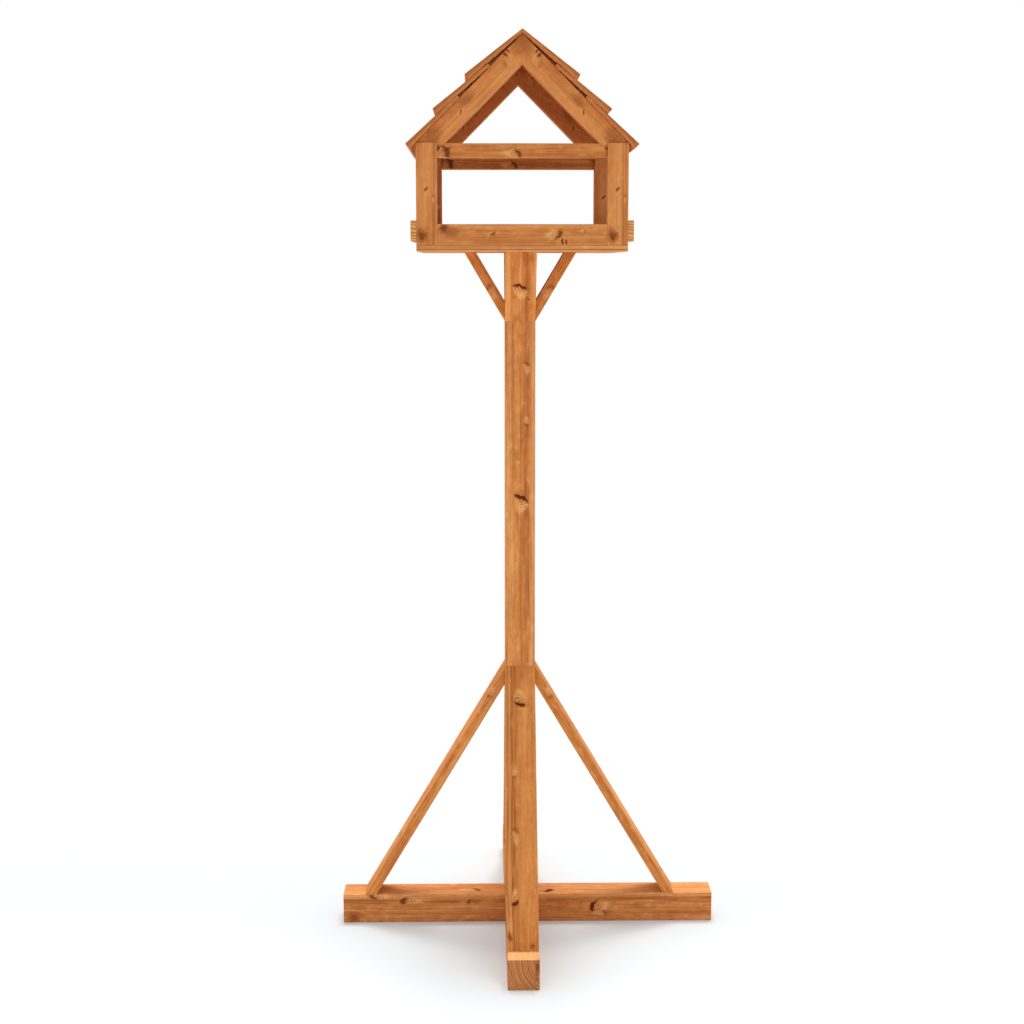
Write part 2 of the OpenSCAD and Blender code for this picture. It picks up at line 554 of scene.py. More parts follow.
# Depths and lines are in metres, and a thing's show is its share of the colour.
KNOT_DEPTH = 0.007
PATCH_FADE = (0.4, 0.72)
END_FACING = (0.75, 0.95)
FLECKS_SHOW = 0.45
WEAR_AND_HIGHLIGHT_SHOW = 0.3
BAND_SHOW = 0.25
LATEWOOD_RELIEF = 0.5
FIBRE_RELIEF = 0.35
CORE_RELIEF = 0.5
BUMP_STRENGTH = 0.5
BUMP_DISTANCE = 0.0007
LATEWOOD_GLOSS = 0.08
SPECULAR = 0.1
# pale strip on a top face near a cut end: partly the wood's paler tone, partly painted highlight where the
# brace's foot does not shade the top
PALE_LIT_SKIN = 0.002
PALE_LIT_EDGE = (1.06, 0.94)
PALE_LIT_FIBRE = (0.5, 0.75)
JOINT_LINE = (0.0011, 0.0003)
JOINT_SHOW = 0.6
END_GRAIN_SHOW = 0.35
PALE_EDGE = (1.3, 0.8)
PALE_EDGE_SHOW = 0.2


@dataclass(frozen=True)
class TimberFinish:
    """Stained softwood: the colours that its grain takes and how it meets the light."""

    slot: str
    early: Colour
    late: Colour
    deep: Colour
    pale: Colour
    heart: Colour
    end: Colour
    char: Colour = stain(98, 34, 0)
    # colour of the pale strip near a cut end, partly the wood's tone and partly painted highlight
    pale_lit: Colour = stain(250, 190, 124)
    ring_width: float = 4.2
    rings_show: float = 0.38
    patches_show: float = 0.5
    roughness: float = 0.72


@dataclass
class Workshop:
    """The node groups that every finish shares."""

    knot: Tree = field(default_factory=knot_group)
    grain: Tree = field(default_factory=grain_group)
    bundle: Tree = field(default_factory=bundle_group)
    arris: Tree = field(default_factory=arris_group)


class Dressing:
    """A timber's material while it is put together: a finish with the timber's own grain and knots."""

    def __init__(self, finish: TimberFinish, timber: "Timber", tools: Workshop) -> None:
        """Starts the material, with its places in the timber's own axes, its knots and its grain.

        Args:
            finish: The finish.
            timber: The timber that is dressed.
            tools: The shared node groups.
        """
        self.finish = finish
        self.timber = timber
        self.tools = tools
        self.material = bpy.data.materials.new(f"stained_{timber.node}")
        self.bench = clear_bench(self.material)
        place = self.bench.node("ShaderNodeTexCoord").outputs["Object"]
        self.section = self.bench.node(
            "ShaderNodeMapping",
            {"Vector": place, "Location": timber.start, "Rotation": timber.frame().to_euler()},
            vector_type="TEXTURE",
        ).outputs["Vector"]
        self.knots = [self.knot(knot) for knot in timber.knots]
        self.wood = self.grain()

    def knot(self, knot: Knot) -> Outputs:
        """Adds one knot.

        Args:
            knot: The knot.

        Returns:
            The knot's outputs.
        """
        mouth, branch = self.timber.branch(knot)
        inputs = {
            "Section": self.section,
            "Mouth": mouth,
            "Branch": branch,
            "Radius": knot.radius * MILLIMETRE,
            "Depth": KNOT_DEPTH,
            "Rim Side": knot.crescent.value,
            "Stretch": knot.stretch,
            "Skew": knot.skew,
        }
        return self.bench.group(self.tools.knot, inputs)

    def grain(self) -> Outputs:
        """Adds the grain, which the knots turn aside.

        Returns:
            The grain's outputs.
        """
        bulge: Feed = 0.0
        for knot in self.knots:
            bulge = self.bench.sum("ADD", bulge, knot["Bulge"])
        inputs = {
            "Grain": self.bench.vector("SUBTRACT", self.section, self.timber.heart_place()),
            "Bulge": bulge,
            "Ring Width": self.finish.ring_width * MILLIMETRE,
            "Seed": self.timber.seed(),
        }
        return self.bench.group(self.tools.grain, inputs)

    def tint(self, colour: Feed, mask: Feed, share: float, tint: Colour) -> Feed:
        """Lays a tint over a colour where a mask says, by a share of the mask."""
        return self.bench.mix(self.bench.times(mask, share), colour, tint)

    def grained(self) -> Feed:
        """Colours the plain grain, without streaks, knots or cuts.

        Returns:
            The colour.
        """
        finish = self.finish
        show = self.timber.grain_show
        colour = self.tint(finish.early, self.wood["Latewood"], finish.rings_show * show, finish.late)
        patch = self.bench.ease(self.wood["Patch"], *PATCH_FADE)
        colour = self.tint(colour, patch, finish.patches_show, finish.deep)
        for tint in GRAIN_TINTS:
            mask = self.bench.ease(self.wood[tint.output], *tint.fade)
            colour = self.tint(colour, mask, tint.share * show, getattr(finish, tint.colour))
        return colour

    def streaked(self, colour: Feed) -> Feed:
        """Adds the timber's bundles of streaks, dark or pale, and its flecks. A pale bundle is a plain pale
        band, and one on the foot's cross beam is painted highlight over its top face.

        Args:
            colour: The colour so far.

        Returns:
            The new colour.
        """
        for streaks in self.timber.bands:
            inputs = {
                "Section": self.section,
                "Offset": streaks.offset * MILLIMETRE,
                "Width": streaks.width * MILLIMETRE,
                "Seed": self.timber.seed(),
            }
            made = self.bench.group(self.tools.bundle, inputs)
            if streaks.pale:
                colour = self.tint(colour, made["Band"], streaks.show, self.finish.pale)
            else:
                colour = self.tint(colour, made["Band"], BAND_SHOW, self.finish.deep)
                colour = self.tint(colour, made["Streaks"], streaks.show, self.finish.heart)
        return self.tint(colour, self.wood["Fleck"], FLECKS_SHOW, self.finish.pale)

    def cut(self, colour: Feed) -> Feed:
        """Adds the end grain, a pale strip on the top face near a cut end (partly the wood's paler tone,
        partly painted highlight where the brace's foot leaves the top unshaded) and the joint lines of a
        layered board.

        Args:
            colour: The colour so far.

        Returns:
            The new colour.
        """
        bench, finish, timber = self.bench, self.finish, self.timber
        normal = bench.node("ShaderNodeNewGeometry").outputs["Normal"]
        facing = bench.sum("ABSOLUTE", bench.vector("DOT_PRODUCT", normal, timber.run))
        parts = bench.parts(self.section)
        # pale strip on the top face near the cut end: partly the wood's tone, partly painted highlight
        if timber.pale_lit_end > 0.0:
            pale_lit = bench.ease(parts["Y"], *(timber.pale_lit_end * MILLIMETRE * share for share in PALE_LIT_EDGE))
            skin = timber.half.z - PALE_LIT_SKIN
            pale_lit = bench.times(pale_lit, bench.ease(parts["Z"], skin, skin + MILLIMETRE))
            lined = bench.mix(bench.ease(self.wood["Fibre"], *PALE_LIT_FIBRE), finish.pale_lit, finish.early)
            colour = bench.mix(pale_lit, colour, lined)
        for height in timber.layers:
            away = bench.sum("ABSOLUTE", bench.sum("SUBTRACT", parts["Z"], height * MILLIMETRE))
            colour = self.tint(colour, bench.ease(away, *JOINT_LINE), JOINT_SHOW, finish.heart)
        plain = bench.mix(END_GRAIN_SHOW, bench.mix(timber.end_pale, finish.end, finish.pale), colour)
        ringed = self.tint(plain, self.wood["Rings"], timber.end_rings, finish.heart)
        if timber.pale_edge > 0.0:
            low = bench.sum("ADD", parts["Z"], timber.half.z)
            strip = bench.ease(low, *(timber.pale_edge * MILLIMETRE * share for share in PALE_EDGE))
            ringed = self.tint(ringed, strip, PALE_EDGE_SHOW, finish.pale)
        return bench.mix(bench.ease(facing, *END_FACING), colour, ringed)

    def finished(self) -> bpy.types.Material:
        """Puts the colours, the knots, the pale edge line (partly wear, partly painted highlight) and the
        relief together.

        Returns:
            The material.
        """
        bench, finish, timber = self.bench, self.finish, self.timber
        looks = [knot.look.value for knot in timber.knots]
        core, rim, halo, swirl = (
            bench.largest([bench.times(knot[name], look[part]) for knot, look in zip(self.knots, looks)])
            for part, name in enumerate(LOOK_PARTS)
        )
        colour = self.cut(self.streaked(self.grained()))
        tints = (finish.pale, finish.late, finish.heart, finish.char)
        for mask, tint in zip((halo, swirl, core, rim), tints):
            colour = bench.mix(mask, colour, tint)
        halves = {"Section": self.section, "Half Across": timber.half.x, "Half Out": timber.half.z}
        # pale line along the long edges: partly wear, partly painted highlight on the arrises
        colour = self.tint(colour, bench.group(self.tools.arris, halves)["WearAndHighlight"], WEAR_AND_HIGHLIGHT_SHOW, finish.pale)
        height = bench.times(self.wood["Latewood"], LATEWOOD_RELIEF)
        height = bench.sum("ADD", height, bench.times(self.wood["Fibre"], FIBRE_RELIEF))
        height = bench.sum("ADD", height, bench.times(core, CORE_RELIEF))
        height = bench.sum("SUBTRACT", height, rim)
        relief = {"Strength": BUMP_STRENGTH, "Distance": BUMP_DISTANCE, "Height": height}
        normal = bench.node("ShaderNodeBump", relief).outputs["Normal"]
        rough = bench.sum("ADD", bench.times(self.wood["Latewood"], -LATEWOOD_GLOSS), finish.roughness)
        looks_like = {"Base Color": colour, "Roughness": rough, "Normal": normal}
        shader = bench.node("ShaderNodeBsdfPrincipled", looks_like)
        shader.inputs["Specular IOR Level"].default_value = SPECULAR
        bench.node("ShaderNodeOutputMaterial", {"Surface": shader.outputs["BSDF"]})
        return self.material


@dataclass(frozen=True)
class Streaks:
    """A bundle of streaks along a timber, by its place across the face and its width in mm. A pale one is a
    plain pale band; one of them is painted highlight over a top face.
    """

    offset: float
    width: float
    show: float = 0.7
    pale: bool = False


MERGE_REACH = 0.00001
FLAT_ANGLE = math.radians(1)
SMOOTH_ANGLE = math.radians(40)
EASE_SEGMENTS = 3
LONG_EDGE = 0.99
KNOT_SPARE = 0.3
FIRST_WHORL = (0.2, 0.8)
NEXT_WHORL = (0.6, 1.4)
KNOT_SIZES = (0.4, 1.0)
KNOT_STRETCHES = (1.0, 1.6)
KNOT_SKEWS = (-0.5, 0.5)
SEED_SPAN = (0, 9)


@dataclass
class Timber:
    """One timber: a CAD node's solid with eased edges and its own grain. Sizes are in mm."""

    node: str
    run: Vector
    face: Vector
    sawing: Sawing = Sawing.SLAB
    knots: list[Knot] = field(default_factory=list)
    bands: list[Streaks] = field(default_factory=list)
    layers: tuple[float, ...] = ()
    pale_lit_end: float = 0.0
    end_rings: float = 0.5
    end_pale: float = 0.0
    grain_show: float = 1.0
    pale_edge: float = 0.0
    arris: float = 1.2
    end_arris: float = 0.4
    piece: Object | None = None
    start: Vector = field(default_factory=Vector)
    half: Vector = field(default_factory=Vector)

    def frame(self) -> Matrix:
        """Returns the timber's own axes as columns: across, along its run, and out of its face."""
        across = self.run.cross(self.face)
        return Matrix((across, self.run, self.face)).transposed()

    def measure(self, mesh: bpy.types.Mesh) -> None:
        """Finds the timber's start and half sizes in its own axes.

        Args:
            mesh: The CAD node's mesh.
        """
        turn = self.frame().transposed()
        places = [turn @ vertex.co for vertex in mesh.vertices]
        low = Vector(min(place[axis] for place in places) for axis in range(3))
        high = Vector(max(place[axis] for place in places) for axis in range(3))
        middle = (low + high) / 2
        self.half = (high - low) / 2
        self.start = self.frame() @ Vector((middle.x, low.y, middle.z))

    def heart_place(self) -> Vector:
        """Returns the tree's heart in the timber's own axes, in metres."""
        across, out = self.sawing.value
        return Vector((across, 0.0, out)) * MILLIMETRE

    def branch(self, knot: Knot) -> tuple[Vector, Vector]:
        """Works out where a knot comes out of its side, and which way it grows.

        Args:
            knot: The knot.

        Returns:
            Its mouth and its direction, in the timber's own axes.
        """
        across, out = knot.side.value
        shift = knot.offset * MILLIMETRE
        mouth = Vector((across * self.half.x, knot.along * MILLIMETRE, out * self.half.z))
        mouth += Vector((abs(out) * shift, 0.0, abs(across) * shift))
        return mouth, Vector((across, 0.0, out))

    def seed(self) -> Vector:
        """Returns a shift that gives each timber its own grain."""
        dice = random.Random(self.node)
        return Vector([dice.uniform(*SEED_SPAN) for _ in range(3)])

    def build(self, nodes: dict[str, Object]) -> Object:
        """Copies the CAD solid, merges it and eases its edges.

        Args:
            nodes: The CAD nodes by name.

        Returns:
            The finished piece.
        """
        mesh = nodes[self.node].data.copy()
        self.measure(mesh)
        self.piece = bpy.data.objects.new(f"{self.node}_timber", mesh)
        bpy.context.scene.collection.objects.link(self.piece)
        bpy.ops.object.select_all(action="DESELECT")
        self.piece.select_set(True)
        bpy.context.view_layer.objects.active = self.piece
        bpy.ops.mesh.customdata_custom_splitnormals_clear()
        bpy.ops.object.mode_set(mode="EDIT")
        bpy.ops.mesh.select_all(action="SELECT")
        bpy.ops.mesh.remove_doubles(threshold=MERGE_REACH)
        bpy.ops.mesh.dissolve_limited(angle_limit=FLAT_ANGLE)
        bpy.ops.mesh.faces_shade_smooth()
        bpy.ops.mesh.select_all(action="DESELECT")
        bpy.ops.object.mode_set(mode="OBJECT")
        self.weigh_edges()
        ease = self.piece.modifiers.new("eased_edges", "BEVEL")
        ease.limit_method = "WEIGHT"
        ease.width = self.arris * MILLIMETRE
        ease.segments = EASE_SEGMENTS
        bpy.ops.object.modifier_apply(modifier=ease.name)
        bpy.ops.object.shade_smooth_by_angle(angle=SMOOTH_ANGLE)
        return self.piece

    def weigh_edges(self) -> None:
        """Marks the long edges for the full easing and the end cuts for a fine one."""
        mesh = self.piece.data
        weights = mesh.attributes.new("bevel_weight_edge", "FLOAT", "EDGE")
        for edge in mesh.edges:
            first, second = (mesh.vertices[index].co for index in edge.vertices)
            along = abs((second - first).normalized().dot(self.run)) > LONG_EDGE
            weights.data[edge.index].value = 1.0 if along else self.end_arris / self.arris

    def dress(self, finish: TimberFinish, tools: Workshop) -> None:
        """Gives the piece its finish and sets it in the frame in place of its CAD node.

        Args:
            finish: The finish.
            tools: The shared node groups.
        """
        self.piece.data.materials.clear()
        self.piece.data.materials.append(Dressing(finish, self, tools).finished())
        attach(self.piece, BODY)
        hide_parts(self.node)

    def scatter(self, sides: tuple[Side, ...], spacing: float, radius: float) -> "Timber":
        """Adds knots to sides that have none of their own yet, in whorls along the run.

        Args:
            sides: The sides that get knots.
            spacing: About how far apart the whorls are, in mm.
            radius: The largest knot's radius, in mm.

        Returns:
            The timber itself.
        """
        dice = random.Random(f"{self.node} knots")
        low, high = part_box(self.node)
        reach = length_along(high - low, self.run)
        spare = length_along(high - low, self.run.cross(self.face)) * KNOT_SPARE
        at = spacing * dice.uniform(*FIRST_WHORL)
        while at < reach:
            crescent = dice.choice(list(Crescent))
            side = dice.choice(sides)
            shift = dice.uniform(-spare, spare) if side in (Side.FACE, Side.BACK) else 0.0
            look = dice.choice((Look.TIGHT, Look.LOOSE, Look.SWIRL, Look.SMUDGE_AND_SHADE))
            size = radius * dice.uniform(*KNOT_SIZES)
            stretch = dice.uniform(*KNOT_STRETCHES)
            skew = dice.uniform(*KNOT_SKEWS)
            self.knots.append(Knot(at, shift, size, look, stretch, skew, crescent, side))
            at += spacing * dice.uniform(*NEXT_WHORL)
        return self


@dataclass
class SubAssembly:
    """Timbers that are put together and finished alike."""

    finish: TimberFinish
    arris: float = 1.2
    end_arris: float = 0.4

    def timbers(self) -> list[Timber]:
        """Returns the timbers, each with its run, its face, its sawing and its knots."""
        raise NotImplementedError

    def make(self, nodes: dict[str, Object], tools: Workshop) -> None:
        """Builds and dresses every timber, and reports each one.

        Args:
            nodes: The CAD nodes by name.
            tools: The shared node groups.
        """
        for timber in self.timbers():
            timber.arris = self.arris
            timber.end_arris = self.end_arris
            piece = timber.build(nodes)
            timber.dress(self.finish, tools)
            log.info("%s: %d faces, %d knots", piece.name, len(piece.data.polygons), len(timber.knots))


@dataclass
class Foot(SubAssembly):
    """The two crossed beams that stand on the ground."""

    def timbers(self) -> list[Timber]:
        """Returns the beam across and the beam from front to rear."""
        across = Timber("foot_beam_across", RIGHT, FRONT, Sawing.SLAB_RIGHT)
        across.knots = [
            Knot(98.0, -12.0, 4.2, Look.CURL, 1.9, 0.4, Crescent.LOWER),
            Knot(50.0, -20.0, 4.5, Look.CURL, 1.6, -0.5, Crescent.LOWER),
            Knot(16.0, 14.0, 9.0, Look.SMUDGE_AND_SHADE, crescent=Crescent.LOWER),
            Knot(192.0, -10.0, 3.0, Look.LOOSE, 1.2, 0.5),
            Knot(202.0, 5.0, 5.0, Look.CURL, 1.5, -0.5, side=Side.LEFT),
            Knot(312.0, 10.0, 5.0, Look.TIGHT, 1.8, 0.6, side=Side.LEFT),
            Knot(391.0, -2.0, 7.0, Look.TIGHT, 1.0, 0.4, Crescent.LOWER),
            Knot(401.0, 9.0, 4.0, Look.SWIRL, 1.3, -0.4),
        ]
        across.scatter((Side.BACK,), 210.0, 7.0)
        across.bands = [
            Streaks(-12.5, 4.0, 0.8),
            Streaks(6.0, 8.0, 0.2),
            Streaks(-19.0, 2.5, 0.35, pale=True),
            # painted highlight: this pale band lies on the beam's top face and lightens all of it
            Streaks(-22.5, 1.5, 0.25, pale=True),
        ]
        # the pale strip near the front end is partly painted highlight on the top face
        along = Timber("foot_beam_front_to_back", REAR, UP, Sawing.CORNER, pale_lit_end=26.0, end_rings=0.8)
        along.knots = [Knot(2.0, 11.0, 11.0, Look.SMUDGE_AND_SHADE, side=Side.RIGHT)]
        along.scatter((Side.LEFT, Side.RIGHT, Side.FACE), 120.0, 6.0)
        return [across, along]


@dataclass
class Column(SubAssembly):
    """The post."""

    def timbers(self) -> list[Timber]:
        """Returns the post."""
        post = Timber("post", UP, FRONT)
        post.knots = [
            Knot(615.0, 1.0, 8.0, Look.TIGHT, 0.75, 0.4),
            Knot(816.0, 9.5, 3.6, Look.SWIRL, 1.2, 0.4),
            Knot(730.0, 9.5, 2.6, Look.SWIRL, 1.4, 0.3, Crescent.LOWER),
            Knot(675.0, -1.6, 1.6, Look.SWIRL),
        ]
        post.bands = [
            Streaks(9.5, 4.5, 0.6),
            Streaks(19.0, 3.5, 0.4, pale=True),
            Streaks(-17.0, 5.0, 0.25, pale=True),
        ]
        post.scatter((Side.LEFT, Side.RIGHT, Side.BACK), 120.0, 7.0)
        return [post]


@dataclass
class Braces(SubAssembly):
    """A set of four struts, a quarter turn apart, that lean on the post."""

    level: str = ""
    lean: float = 30.8
    spreads_down: bool = False

    def timbers(self) -> list[Timber]:
        """Returns the four struts, each with its run upwards and its face away from the post."""
        made = []
        for name, outward in (("right", RIGHT), ("rear", REAR), ("left", LEFT), ("front", FRONT)):
            lean = math.radians(self.lean)
            inward = -outward if self.spreads_down else outward
            run = inward * math.sin(lean) + UP * math.cos(lean)
            lift = math.sin(lean) if self.spreads_down else -math.sin(lean)
            face = outward * math.cos(lean) + UP * lift
            made.append(Timber(f"{self.level}_brace_{name}", run, face))
        return made


@dataclass
class LowerBraces(Braces):
    """The long struts from the foot beams up to the post."""

    level: str = "lower"
    spreads_down: bool = True

    def timbers(self) -> list[Timber]:
        """Returns the struts with their knots."""
        made = super().timbers()
        right, rear, left, front = made
        right.sawing = Sawing.RIFT
        left.sawing = Sawing.RIFT_LEFT
        front.sawing = Sawing.SLAB_RIGHT
        front.knots = [
            Knot(365.0, -0.4, 7.5, Look.TIGHT, 0.8, 0.2, Crescent.LOWER),
            Knot(252.0, -10.0, 2.6, Look.SWIRL, 1.3, crescent=Crescent.LOWER),
            Knot(168.0, -8.8, 4.0, Look.SWIRL, 1.5, 0.4),
            Knot(70.0, -11.0, 4.0, Look.TIGHT, 1.4, -0.4, Crescent.LOWER),
            Knot(22.0, -18.8, 3.2, Look.LOOSE, 2.0, 0.7, Crescent.LOWER),
            Knot(6.0, 13.4, 4.0, Look.SMUDGE_AND_SHADE),
        ]
        front.bands = [
            Streaks(-12.5, 6.5, 0.8),
            Streaks(-17.5, 1.5, 0.5, pale=True),
            Streaks(-20.5, 2.0, 0.6),
        ]
        front.grain_show = 0.62
        left.knots = [Knot(371.0, 5.0, 4.5, Look.SWIRL, crescent=Crescent.LOWER, side=Side.RIGHT)]
        right.knots = [Knot(370.0, 5.0, 4.5, Look.SWIRL, crescent=Crescent.LOWER, side=Side.LEFT)]
        for strut in (right, rear, left):
            strut.scatter((Side.FACE, Side.BACK), 150.0, 6.0)
        return made


@dataclass
class UpperBraces(Braces):
    """The short struts from the post up to the tray."""

    level: str = "upper"

    def timbers(self) -> list[Timber]:
        """Returns the struts with their knots."""
        made = super().timbers()
        right, rear, left, front = made
        front.knots = [
            Knot(56.0, -0.5, 7.5, Look.TIGHT, 0.7, 0.4),
            Knot(36.0, 12.0, 1.6, Look.LOOSE),
        ]
        front.bands = [Streaks(9.0, 5.0, 0.6), Streaks(-16.0, 4.0, 0.3, pale=True)]
        left.knots = [Knot(51.0, 2.0, 4.5, Look.SWIRL, 1.2, 0.4, side=Side.RIGHT)]
        right.knots = [Knot(51.0, 2.0, 4.5, Look.SWIRL, 1.2, -0.4, side=Side.LEFT)]
        for strut in (right, rear, left):
            strut.scatter((Side.FACE,), 90.0, 5.0)
        return made


@dataclass
class Tray(SubAssembly):
    """The floor for the food and the rails round it."""

    def timbers(self) -> list[Timber]:
        """Returns the floor and the four rails."""
        panel = Timber("tray_floor", RIGHT, UP, Sawing.BOARD, layers=(4.2, -1.7))
        panel.scatter((Side.FACE, Side.BACK), 90.0, 7.0)
        panel.bands = [Streaks(147.0, 6.0, 0.3, pale=True)]
        front = Timber("tray_rail_front", RIGHT, FRONT)
        front.knots = [
            Knot(76.0, -1.2, 2.4, Look.LOOSE, 1.0, 0.9),
            # painted shade: a dark patch at the rail's left end, by the corner post
            Knot(9.0, -9.0, 8.5, Look.SMUDGE_AND_SHADE, 0.8),
            Knot(165.0, 0.5, 5.4, Look.CURL, 0.9, 0.6),
            Knot(172.5, 9.5, 4.6, Look.DASH, 0.4),
            Knot(178.0, 10.5, 4.0, Look.DASH, 0.4),
            Knot(203.0, -5.0, 1.8, Look.SWIRL),
            # painted shade: a soft dark patch near the rail's left end
            Knot(20.0, -2.0, 9.0, Look.SMOKE, 1.8),
        ]
        front.grain_show = 0.8
        front.bands = [Streaks(8.0, 6.0, 0.2), Streaks(-11.0, 3.0, 0.3, pale=True)]
        rear = Timber("tray_rail_rear", RIGHT, REAR).scatter((Side.FACE,), 90.0, 5.0)
        made = [panel, front, rear]
        for hand, outward in (("left", LEFT), ("right", RIGHT)):
            name = f"tray_rail_{hand}"
            rail = Timber(name, REAR, outward, Sawing.QUARTER, end_rings=0.85, end_pale=1.0)
            made.append(rail.scatter((Side.FACE,), 110.0, 5.0))
        return made


@dataclass
class CornerPosts(SubAssembly):
    """The four short posts that carry the roof."""

    def timbers(self) -> list[Timber]:
        """Returns the posts, alike from the front."""
        made = []
        for depth in ("front", "rear"):
            for hand in ("left", "right"):
                corner = Timber(f"corner_post_{depth}_{hand}", UP, FRONT, Sawing.RIFT)
                corner.knots = [
                    Knot(75.0, -0.8, 2.4, Look.LOOSE, 1.0, -0.9),
                    # painted shade: a dark patch at the post's foot, where it meets the tray
                    Knot(12.0, -7.0, 8.5, Look.SMUDGE_AND_SHADE),
                    Knot(65.0, 9.7, 1.2, Look.SWIRL, 2.0),
                ]
                corner.bands = [Streaks(9.5, 2.5, 0.55), Streaks(-3.0, 5.0, 0.2, pale=True)]
                corner.grain_show = 0.5
                corner.scatter((Side.LEFT, Side.RIGHT, Side.BACK), 70.0, 4.0)
                made.append(corner)
        return made


@dataclass
class RoofFrame(SubAssembly):
    """The tie beams and the rafters."""

    slope: float = 45.0

    def timbers(self) -> list[Timber]:
        """Returns the two ties and the four rafters."""
        made = []
        for depth in ("front", "rear"):
            tie = Timber(f"tie_beam_{depth}", RIGHT, FRONT)
            tie.knots = [
                Knot(14.0, -1.0, 4.0, Look.LOOSE, 0.8, 0.6),
                Knot(9.0, 1.0, 6.5, Look.CURL, 1.0, -0.4),
                Knot(108.5, 4.0, 4.8, Look.CURL, 1.2, -0.5),
            ]
            tie.bands = [Streaks(4.0, 4.0, 0.25)]
            made.append(tie)
        for depth in ("front", "rear"):
            for hand, outward, sign in (("left", LEFT, 1.0), ("right", RIGHT, -1.0)):
                slope = math.radians(self.slope)
                run = outward * math.cos(slope) - UP * math.sin(slope)
                rafter = Timber(f"rafter_{depth}_{hand}", run, FRONT)
                rafter.knots = [
                    Knot(36.5, sign * 10.5, 4.2, Look.DASH, 0.45),
                    Knot(30.5, sign * 12.5, 3.6, Look.DASH, 0.45),
                    # painted shade: a dark patch on the rafter's heel beside the corner post, which stands
                    # proud of it
                    Knot(192.0, -sign * 13.0, 6.0, Look.SMUDGE_AND_SHADE),
                    Knot(43.0, sign * 2.5, 5.0, Look.FAINT, 0.8, sign * 0.4),
                    Knot(133.0, -sign * 0.5, 2.6, Look.LOOSE, 0.7, sign * 0.8),
                    # painted shade: soft dark patches on the rafter's face under the roof boards, from the
                    # apex down to its foot by the corner post
                    Knot(118.0, sign * 6.0, 9.0, Look.SMOKE, 1.6),
                    Knot(184.0, sign * 5.0, 13.0, Look.SMOKE, 1.2),
                    Knot(6.0, sign * 6.0, 16.0, Look.SMOKE, 1.4),
                ]
                rafter.grain_show = 0.55
                made.append(rafter)
        return made


@dataclass
class RoofBoards(SubAssembly):
    """The lapped, tapered boards of the roof, and the angle that each course is lifted by."""

    slope: float = 45.0
    lifts: dict[str, float] = field(default_factory=lambda: {"ridge": 4.7, "middle": 3.9, "eave": 0.0})

    def timbers(self) -> list[Timber]:
        """Returns the six boards, three on each slope."""
        made = []
        for hand, outward in (("left", LEFT), ("right", RIGHT)):
            for course, lift in self.lifts.items():
                fall = math.radians(self.slope - lift)
                face = outward * math.sin(fall) + UP * math.cos(fall)
                board = Timber(f"roof_board_{hand}_{course}", REAR, face, Sawing.BOARD, pale_edge=3.4)
                made.append(board.scatter((Side.FACE,), 95.0, 6.0))
        return made


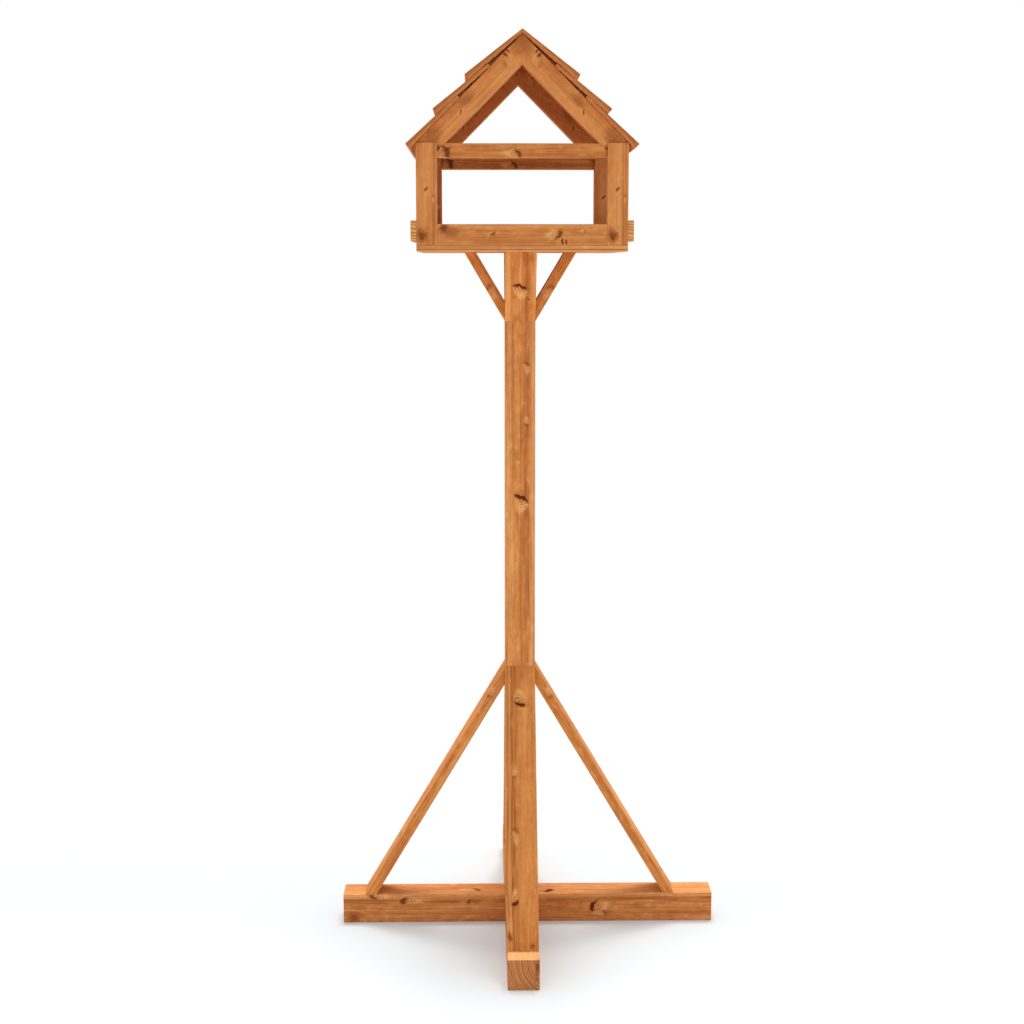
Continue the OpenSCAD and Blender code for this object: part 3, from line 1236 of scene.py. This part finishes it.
@dataclass
class Studio:
    """The camera, the pale floor and backdrop, and the soft light."""

    camera_place: tuple[float, float, float] = (-0.0554, -2.4596, 1.0064)
    camera_turn: float = 1.019
    camera_dip: float = 8.498
    lens: float = 58.0
    sensor: float = 36.0
    camera_range: float = 200.0
    sky: float = 0.777
    lamp_place: Vector = Vector((0.2, 1.6, 8.0)).freeze()
    lamp_aim: Vector = Vector((0.0, 0.0, 0.6)).freeze()
    lamp_size: float = 3.2
    lamp_power: float = 624.0
    floor_size: float = 60.0
    floor_tone: float = 0.8
    # painted shade and painted light: the floor tone the camera sees, darker at the rear and lighter at the
    # front, and a faint painted glow
    painted_shade_rear: Colour = (0.53, 0.562, 0.576, 1.0)
    painted_light_front: Colour = (0.756, 0.802, 0.821, 1.0)
    painted_tone_depth: Span = (0.05, -0.4)
    painted_glow_strength: float = 0.12
    white_from: Span = (0.45, 1.1)

    def set_camera(self) -> None:
        """Adds the camera and makes it the scene's."""
        turn = (math.radians(90 - self.camera_dip), 0.0, math.radians(-self.camera_turn))
        bpy.ops.object.camera_add(location=self.camera_place, rotation=turn)
        camera = bpy.context.object
        camera.name = "camera"
        camera.data.lens = self.lens
        camera.data.sensor_width = self.sensor
        camera.data.clip_end = self.camera_range
        bpy.context.scene.camera = camera

    def light(self) -> None:
        """Adds the soft lamp overhead and the even sky."""
        bpy.ops.object.light_add(type="AREA", location=self.lamp_place)
        lamp = bpy.context.object
        lamp.name = "overhead"
        lamp.data.size = self.lamp_size
        lamp.data.energy = self.lamp_power
        lamp.rotation_euler = (self.lamp_aim - self.lamp_place).to_track_quat("-Z", "Y").to_euler()
        world = bpy.data.worlds.new("soft_sky")
        bench = clear_bench(world)
        plain = bench.node("ShaderNodeBackground", {"Color": WHITE, "Strength": self.sky})
        white = bench.node("ShaderNodeBackground", {"Color": WHITE, "Strength": 1.0})
        shown = bench.blend(self.seen(bench), plain, white)
        bench.node("ShaderNodeOutputWorld", {"Surface": shown.outputs[0]})
        bpy.context.scene.world = world
        bpy.context.scene.view_settings.view_transform = "Standard"

    @staticmethod
    def seen(bench: Bench) -> Socket:
        """Returns 1 for rays from the camera and for those that mirrors and glass pass on."""
        path = bench.node("ShaderNodeLightPath").outputs
        return bench.largest([path["Is Camera Ray"], path["Is Glossy Ray"], path["Is Transmission Ray"]])

    def lay_floor(self) -> None:
        """Adds the floor, white where the light reaches it and grey in the object's shadow. The tone the
        camera sees is painted darker towards the rear and lighter towards the front, and it gets a faint
        painted glow.
        """
        bpy.ops.mesh.primitive_plane_add(size=self.floor_size)
        floor = bpy.context.object
        floor.name = "floor"
        material = bpy.data.materials.new("pale_floor")
        bench = clear_bench(material)
        tone = (self.floor_tone, self.floor_tone, self.floor_tone, 1.0)
        plain = bench.node("ShaderNodeBsdfDiffuse", {"Color": tone})
        place = bench.node("ShaderNodeTexCoord").outputs["Object"]
        depth = bench.parts(place)["Y"]
        # painted shade and painted light: the seen tone goes from darker at the rear to lighter at the front
        painted_floor_tone = bench.mix(bench.ease(depth, *self.painted_tone_depth), self.painted_shade_rear, self.painted_light_front)
        soft = bench.node("ShaderNodeBsdfDiffuse", {"Color": painted_floor_tone})
        # painted glow: an even emission added to the floor that the camera sees
        lift = bench.node("ShaderNodeEmission", {"Strength": self.painted_glow_strength})
        lit = bench.node("ShaderNodeAddShader", {0: soft.outputs[0], 1: lift.outputs[0]})
        white = bench.node("ShaderNodeEmission", {"Strength": 1.0})
        far = bench.ease(bench.vector("LENGTH", place), *self.white_from)
        surface = bench.blend(self.seen(bench), plain, bench.blend(far, lit, white))
        bench.node("ShaderNodeOutputMaterial", {"Surface": surface.outputs[0]})
        floor.data.materials.append(material)

    def set_up(self) -> None:
        """Sets up the whole studio."""
        self.set_camera()
        self.light()
        self.lay_floor()
        log.info("studio: camera, lamp, sky and floor")


FOOT_FINISH = TimberFinish(
    slot="post_timber",
    early=stain(217, 142, 79),
    late=stain(150, 80, 36),
    deep=stain(176, 101, 49),
    pale=stain(234, 172, 108),
    heart=stain(142, 76, 36),
    end=stain(202, 134, 85),
)
POST_FINISH = TimberFinish(
    slot="post_timber",
    early=stain(221, 144, 77),
    late=stain(160, 87, 38),
    deep=stain(188, 109, 53),
    pale=stain(242, 182, 118),
    heart=stain(152, 82, 38),
    char=stain(100, 35, 0),
    end=stain(176, 108, 66),
)
BRACE_FINISH = TimberFinish(
    slot="brace_timber",
    early=stain(222, 145, 76),
    late=stain(158, 87, 37),
    deep=stain(186, 107, 49),
    pale=stain(240, 176, 108),
    heart=stain(148, 78, 34),
    char=stain(100, 35, 0),
    end=stain(172, 104, 62),
)
TRAY_FINISH = TimberFinish(
    slot="tray_timber",
    early=stain(219, 142, 78),
    late=stain(154, 84, 39),
    deep=stain(185, 106, 54),
    pale=stain(240, 176, 108),
    heart=stain(130, 64, 28),
    end=stain(180, 110, 64),
)
ROOF_FINISH = TimberFinish(
    slot="roof_timber",
    early=stain(216, 137, 76),
    late=stain(147, 78, 35),
    deep=stain(178, 100, 48),
    pale=stain(234, 168, 102),
    heart=stain(136, 68, 30),
    end=stain(174, 97, 45),
)


def main() -> None:
    """Builds the studio and the bird table's sub-assemblies in order."""
    logging.basicConfig(level=logging.INFO, format="%(name)s: %(message)s")
    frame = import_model()
    Studio().set_up()
    tools = Workshop()
    assemblies = [
        Foot(FOOT_FINISH),
        Column(POST_FINISH),
        LowerBraces(BRACE_FINISH, arris=1.0),
        UpperBraces(BRACE_FINISH, arris=1.0),
        Tray(TRAY_FINISH, arris=0.8),
        CornerPosts(TRAY_FINISH, arris=1.0),
        RoofFrame(TRAY_FINISH, arris=1.0, end_arris=0.05),
        RoofBoards(ROOF_FINISH, arris=0.6),
    ]
    for assembly in assemblies:
        assembly.make(frame["nodes"], tools)


if __name__ == "__main__":
    main()
